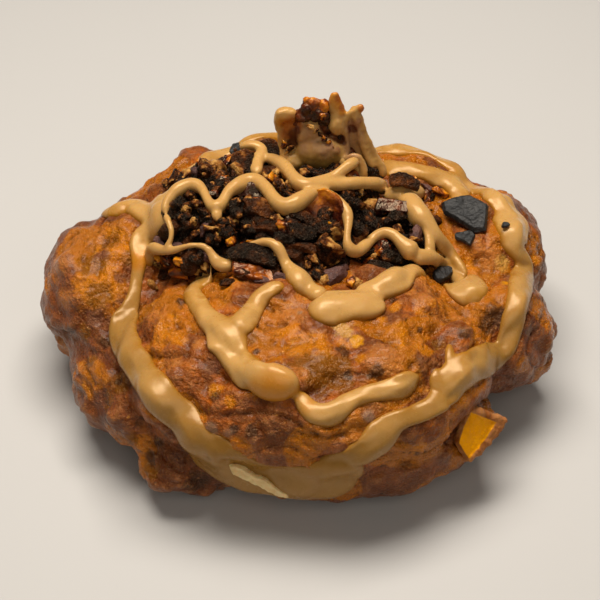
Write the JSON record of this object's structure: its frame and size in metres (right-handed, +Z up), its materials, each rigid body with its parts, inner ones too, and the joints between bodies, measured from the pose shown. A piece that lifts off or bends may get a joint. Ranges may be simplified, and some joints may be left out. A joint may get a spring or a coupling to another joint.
{
  "type": "apple fritter",
  "caption": "Lumpy fried apple fritter with a heap of dark candied bacon bits and poured maple-coloured drizzle.",
  "frame": {"origin": "middle of the flat spot that the fritter rests on", "axes": "+Z up, -Y towards the side that the picture shows in front, +X to the picture's right"},
  "size_m": [0.1296, 0.1146, 0.069],
  "materials": {
    "dough": "fried orange-brown crust with soft satin drizzle",
    "bacon": "dark candied bits, partly glazed",
    "charred_bacon": "slate-grey and slightly shiny",
    "apple": "moist yellow flesh with a browned rim",
    "crust_flake": "dry pale flake"
  },
  "bodies": {
    "root": {"dough": "dough", "bacon_heap": "bacon", "grey_chip": "charred_bacon", "apple_chunk": "apple", "pale_flake": "crust_flake"}
  },
  "joints": []
}
